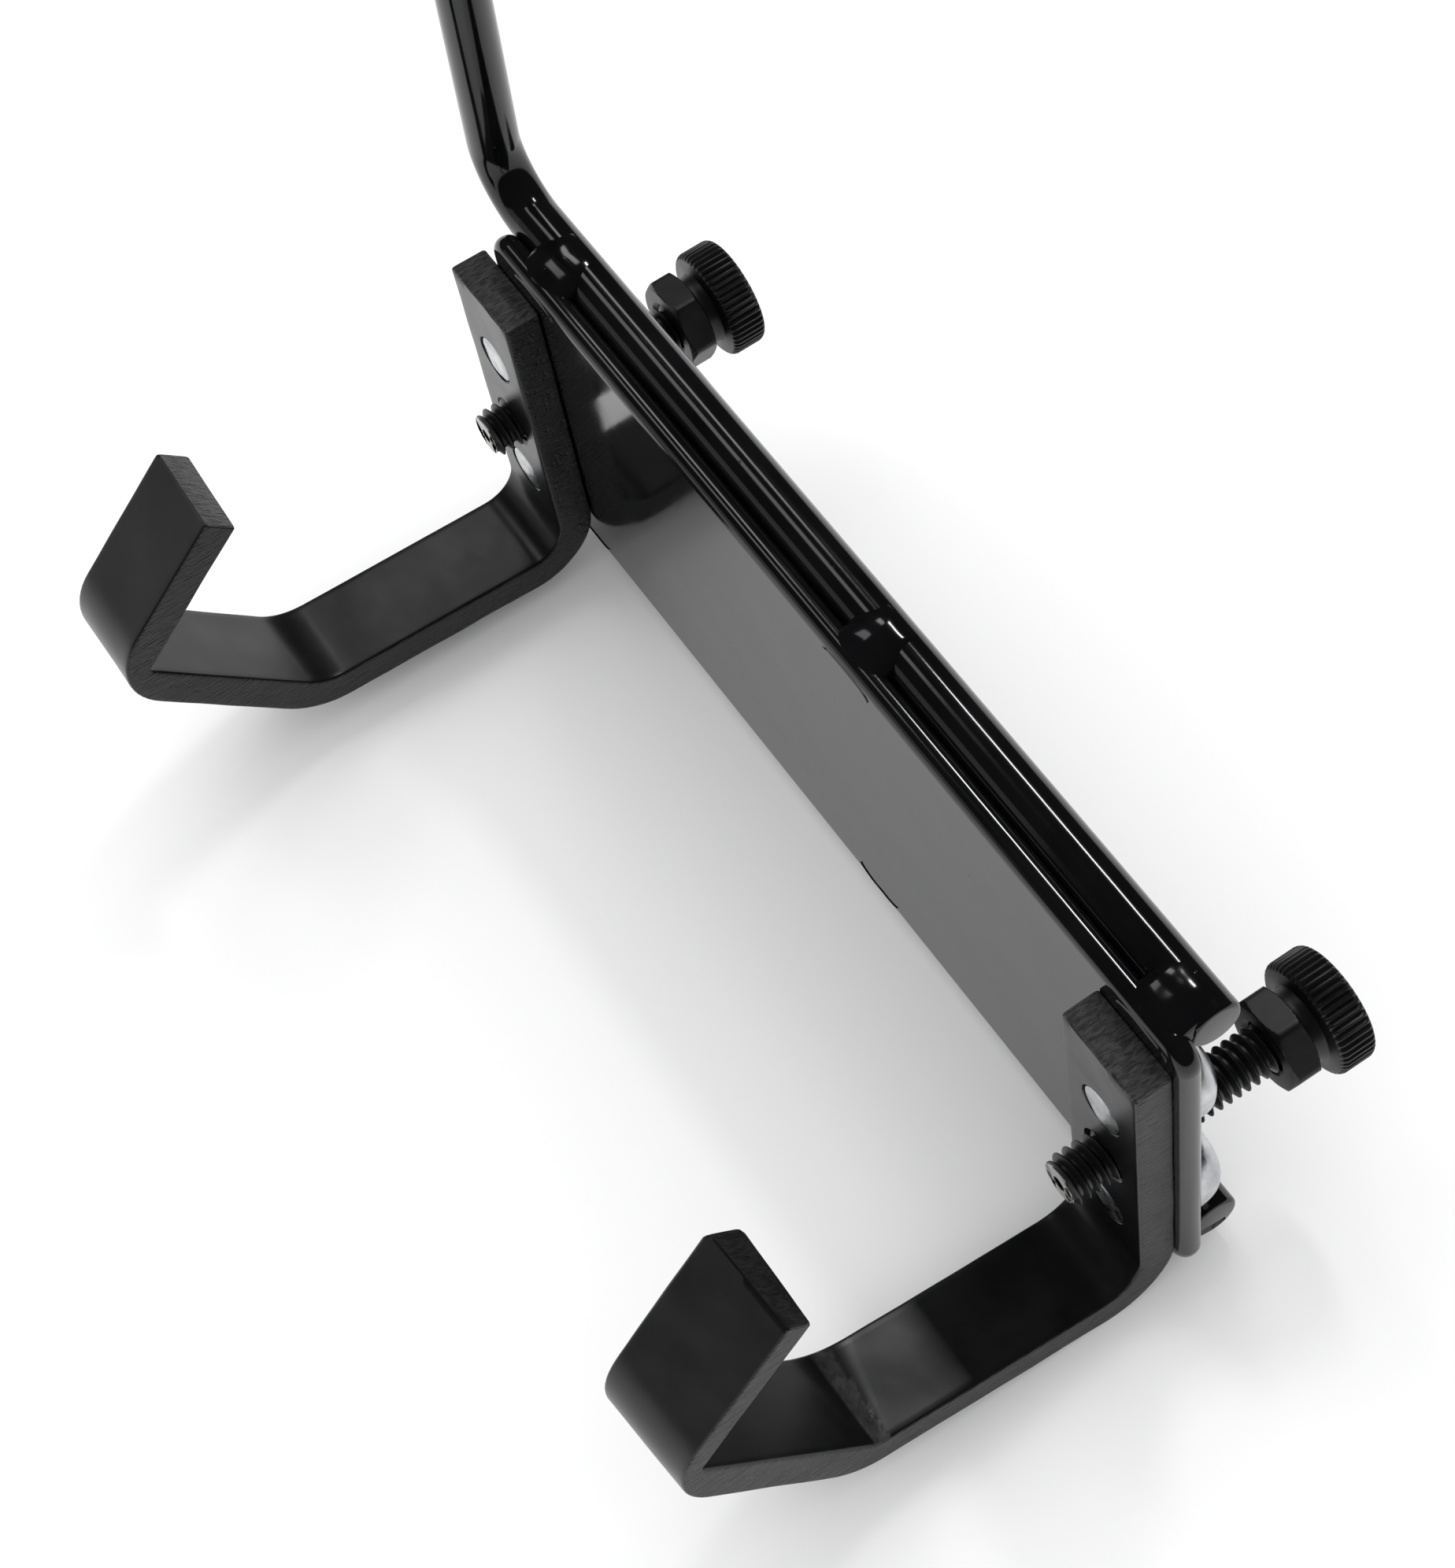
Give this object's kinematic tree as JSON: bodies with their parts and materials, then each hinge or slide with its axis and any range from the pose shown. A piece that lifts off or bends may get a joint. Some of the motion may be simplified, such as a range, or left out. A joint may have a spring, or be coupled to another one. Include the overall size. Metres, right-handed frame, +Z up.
{
  "type": "clamp-on rail bracket",
  "caption": "Stiffened plate bracket with open hooks and knurled thumbscrews that clamp round a rail, and a bent rod arm rising from one end.",
  "frame": {"origin": "midway between the two hooks, in the plane of the hook legs' front faces that the rail seats against, level with the two clamp screws", "axes": "+X along the rail from the left hook to the right hook, -Y out of the plate towards the hooks, +Z up, the way the hooks open and the arm rises"},
  "size_m": [0.1477, 0.0933, 0.1289],
  "materials": {
    "gloss_black_coat": "gloss",
    "satin_black_coat": "satin",
    "zinc_plated_steel": "satin zinc plate",
    "black_oxide_steel": "satin black oxide"
  },
  "bodies": {
    "frame": {"mounting_plate": "gloss_black_coat", "upper_rod": "gloss_black_coat", "lower_rod": "gloss_black_coat", "upper_weld_left": "gloss_black_coat", "lower_weld_left": "gloss_black_coat", "upper_weld_middle": "gloss_black_coat", "lower_weld_middle": "gloss_black_coat", "upper_weld_right": "gloss_black_coat", "lower_weld_right": "gloss_black_coat", "left_hook": "satin_black_coat", "left_upper_rivet": "zinc_plated_steel", "left_lower_rivet": "zinc_plated_steel", "right_hook": "satin_black_coat", "right_upper_rivet": "zinc_plated_steel", "right_lower_rivet": "zinc_plated_steel"},
    "left_stud": {"left_clamp_stud": "black_oxide_steel"},
    "left_knob": {"left_thumb_nut": "black_oxide_steel", "left_jam_nut": "black_oxide_steel"},
    "right_stud": {"right_clamp_stud": "black_oxide_steel"},
    "right_knob": {"right_thumb_nut": "black_oxide_steel", "right_jam_nut": "black_oxide_steel"}
  },
  "joints": [
    {"name": "left_screw_feed", "type": "slide", "parent": "frame", "child": "left_stud", "axis": [0, -1, 0], "range_m": [-0.00382, 0.01017]},
    {"name": "left_screw_turn", "type": "hinge", "parent": "left_stud", "child": "left_knob", "pos_m": [-0.0626, 0, 0], "axis": [0, -1, 0], "range_deg": [-1080, 2880]},
    {"name": "right_screw_feed", "type": "slide", "parent": "frame", "child": "right_stud", "axis": [0, -1, 0], "range_m": [-0.00509, 0.0089]},
    {"name": "right_screw_turn", "type": "hinge", "parent": "right_stud", "child": "right_knob", "pos_m": [0.0626, 0, 0], "axis": [0, -1, 0], "range_deg": [-1440, 2520]}
  ],
  "couplings": [
    {"joint": "left_screw_feed", "follows": "left_screw_turn", "m_per_rad": 0.00020213},
    {"joint": "right_screw_feed", "follows": "right_screw_turn", "m_per_rad": 0.00020213}
  ]
}
